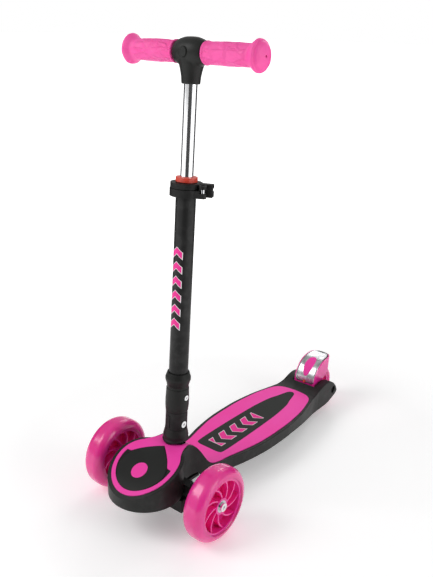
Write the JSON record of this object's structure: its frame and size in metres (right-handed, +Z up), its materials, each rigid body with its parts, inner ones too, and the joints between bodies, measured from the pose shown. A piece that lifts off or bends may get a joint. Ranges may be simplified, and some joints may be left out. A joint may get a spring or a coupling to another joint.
{
  "type": "kick scooter",
  "caption": "Child's lean-to-steer kick scooter: raked folding T-bar with telescoping clamp, round front housing, tapered foot deck, sprung fender brake over the rear wheel.",
  "frame": {"origin": "on the ground, mid-length and mid-width of the whole scooter", "axes": "-Y is the way the scooter rides, +X is the rider's left, +Z is up"},
  "size_m": [0.284, 0.689, 0.8237],
  "materials": {
    "shell_black": "moulded, fine satin grain",
    "inlay_pink": "smooth satin film",
    "panel_black": "fine anti-slip grain",
    "wheel_pink": "cast polyurethane, slightly translucent",
    "tyre_pink": "smooth cast polyurethane",
    "grip_pink": "soft textured rubber",
    "chrome": "polished",
    "steel": "zinc plated",
    "column_black": "satin black coat",
    "bush_red": "moulded",
    "frame_black": "glass-filled moulding"
  },
  "bodies": {
    "deck": {"deck_shell": "shell_black", "top_overlay": "inlay_pink", "grip_panel": "panel_black", "head_inset": "panel_black", "head_button": "inlay_pink", "bottom_cover": "shell_black", "cover_screws": "steel", "front_frame": "frame_black", "lean_pin": "steel", "kingpins": "steel", "kingpin_nuts": "steel", "lean_spring_left": "steel", "lean_spring_right": "steel", "rear_axle": "chrome", "rear_axle_nut": "steel", "rear_spacers": "steel", "brake_pin": "steel", "brake_spring": "steel"},
    "steering": {"lean_block": "frame_black", "boot_collar": "shell_black", "fold_yoke": "frame_black", "fold_bolt": "chrome", "fold_nut": "steel"},
    "column": {"fold_tongue": "steel", "outer_tube": "column_black", "tube_bush": "bush_red", "clamp_collar": "frame_black", "clamp_bolt": "steel", "clamp_nut": "steel", "sleeve_spring": "steel"},
    "clamp_lever": {"clamp_lever": "frame_black"},
    "lock_sleeve": {"lock_sleeve": "shell_black", "pull_ring": "shell_black", "sleeve_bolt": "chrome"},
    "handlebar": {"inner_tube": "chrome", "inner_guide": "bush_red", "t_head": "shell_black", "t_head_cap": "shell_black", "bar_tube": "steel", "grip_left": "grip_pink", "grip_right": "grip_pink"},
    "tie_rod": {"tie_rod": "steel"},
    "knuckle_left": {"knuckle_left": "frame_black", "axle_left": "chrome"},
    "knuckle_right": {"knuckle_right": "frame_black", "axle_right": "chrome"},
    "wheel_left": {"tyre_left": "tyre_pink", "hub_left": "wheel_pink", "bearings_left": "steel"},
    "wheel_right": {"tyre_right": "tyre_pink", "hub_right": "wheel_pink", "bearings_right": "steel"},
    "rear_wheel": {"rear_tyre": "tyre_pink", "rear_hub": "wheel_pink", "rear_bearings": "steel"},
    "brake": {"brake_fender": "wheel_pink", "brake_plate": "chrome", "brake_pad": "grip_pink", "brake_rivet": "bush_red"}
  },
  "joints": [
    {"name": "lean", "type": "hinge", "parent": "deck", "child": "steering", "pos_m": [0, -0.2015, 0.075], "axis": [0, 1, 0], "range_deg": [-10, 10], "stiffness_Nm_per_rad": 25, "deforming": ["lean_spring_left", "lean_spring_right"]},
    {"name": "tie_rod_slide", "type": "slide", "parent": "deck", "child": "tie_rod", "axis": [1, 0, 0], "range_m": [-0.0057, 0.0057]},
    {"name": "steer_left", "type": "hinge", "parent": "deck", "child": "knuckle_left", "pos_m": [0.08, -0.2345, 0.0675], "axis": [0, 0, 1], "range_deg": [-16.2, 16.2]},
    {"name": "steer_right", "type": "hinge", "parent": "deck", "child": "knuckle_right", "pos_m": [-0.08, -0.2345, 0.0675], "axis": [0, 0, 1], "range_deg": [-16.2, 16.2]},
    {"name": "wheel_left_spin", "type": "hinge", "parent": "knuckle_left", "child": "wheel_left", "pos_m": [0.121, -0.2345, 0.0675], "axis": [1, 0, 0], "continuous": true},
    {"name": "wheel_right_spin", "type": "hinge", "parent": "knuckle_right", "child": "wheel_right", "pos_m": [-0.121, -0.2345, 0.0675], "axis": [1, 0, 0], "continuous": true},
    {"name": "rear_wheel_spin", "type": "hinge", "parent": "deck", "child": "rear_wheel", "pos_m": [0, 0.2975, 0.047], "axis": [1, 0, 0], "continuous": true},
    {"name": "fold", "type": "hinge", "parent": "steering", "child": "column", "pos_m": [0, -0.19834, 0.16452], "axis": [-1, 0, 0], "range_deg": [0, 88]},
    {"name": "sleeve_lift", "type": "slide", "parent": "column", "child": "lock_sleeve", "axis": [0, 0.0488, 0.9988], "range_m": [0, 0.012], "stiffness_N_per_m": 500, "springref_m": -0.008, "deforming": ["sleeve_spring"]},
    {"name": "bar_height", "type": "slide", "parent": "column", "child": "handlebar", "axis": [0, 0.0488, 0.9988], "range_m": [-0.14, 0]},
    {"name": "clamp_open", "type": "hinge", "parent": "column", "child": "clamp_lever", "pos_m": [0.03401, -0.17718, 0.58889], "axis": [0, 0.0488, 0.9988], "range_deg": [0, 150]},
    {"name": "brake_press", "type": "hinge", "parent": "deck", "child": "brake", "pos_m": [0, 0.2435, 0.053], "axis": [-1, 0, 0], "range_deg": [0, 17], "stiffness_Nm_per_rad": 2.5, "springref_deg": -20.05}
  ],
  "couplings": [
    {"joint": "tie_rod_slide", "follows": "lean", "m_per_rad": -0.032},
    {"joint": "steer_left", "follows": "lean", "ratio": 1.6},
    {"joint": "steer_right", "follows": "lean", "ratio": 1.6}
  ]
}
